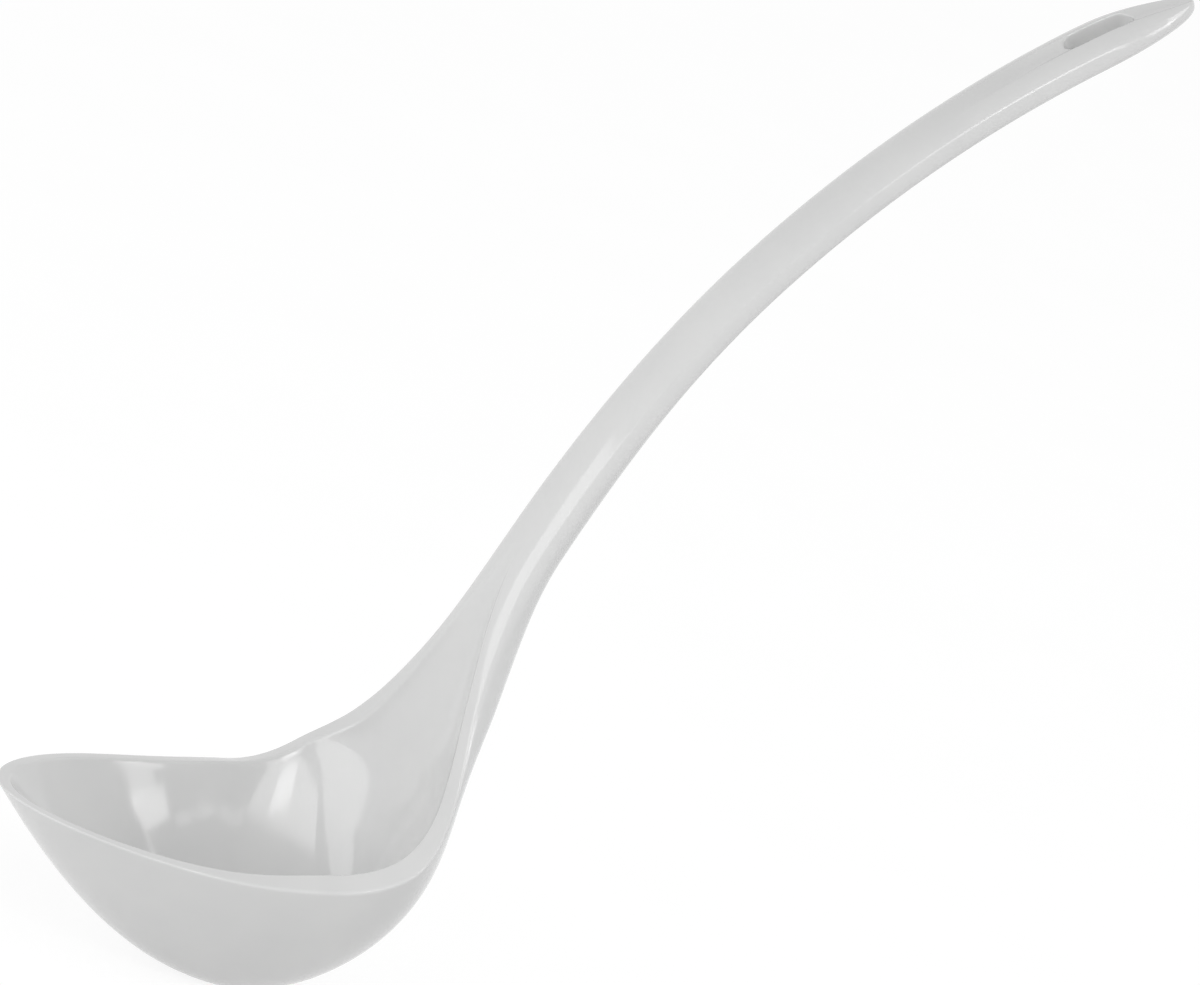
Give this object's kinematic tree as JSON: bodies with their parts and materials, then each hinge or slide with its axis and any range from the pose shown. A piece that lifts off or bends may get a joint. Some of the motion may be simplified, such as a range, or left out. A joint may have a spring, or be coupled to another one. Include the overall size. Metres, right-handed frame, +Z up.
{
  "type": "serving ladle",
  "caption": "One-piece glossy white serving ladle with a spouted oval bowl, a troughed neck and a curved handle ending in a dished tip with a hanging slot.",
  "frame": {"origin": "middle of the flat under the bowl", "axes": "+Z up, -X to the pouring lip, +X to the handle, the ladle is symmetric about the XZ plane"},
  "size_m": [0.1877, 0.0602, 0.2338],
  "materials": {
    "gloss_white": "polished white melamine-type moulding"
  },
  "bodies": {
    "root": {"ladle": "gloss_white"}
  },
  "joints": []
}
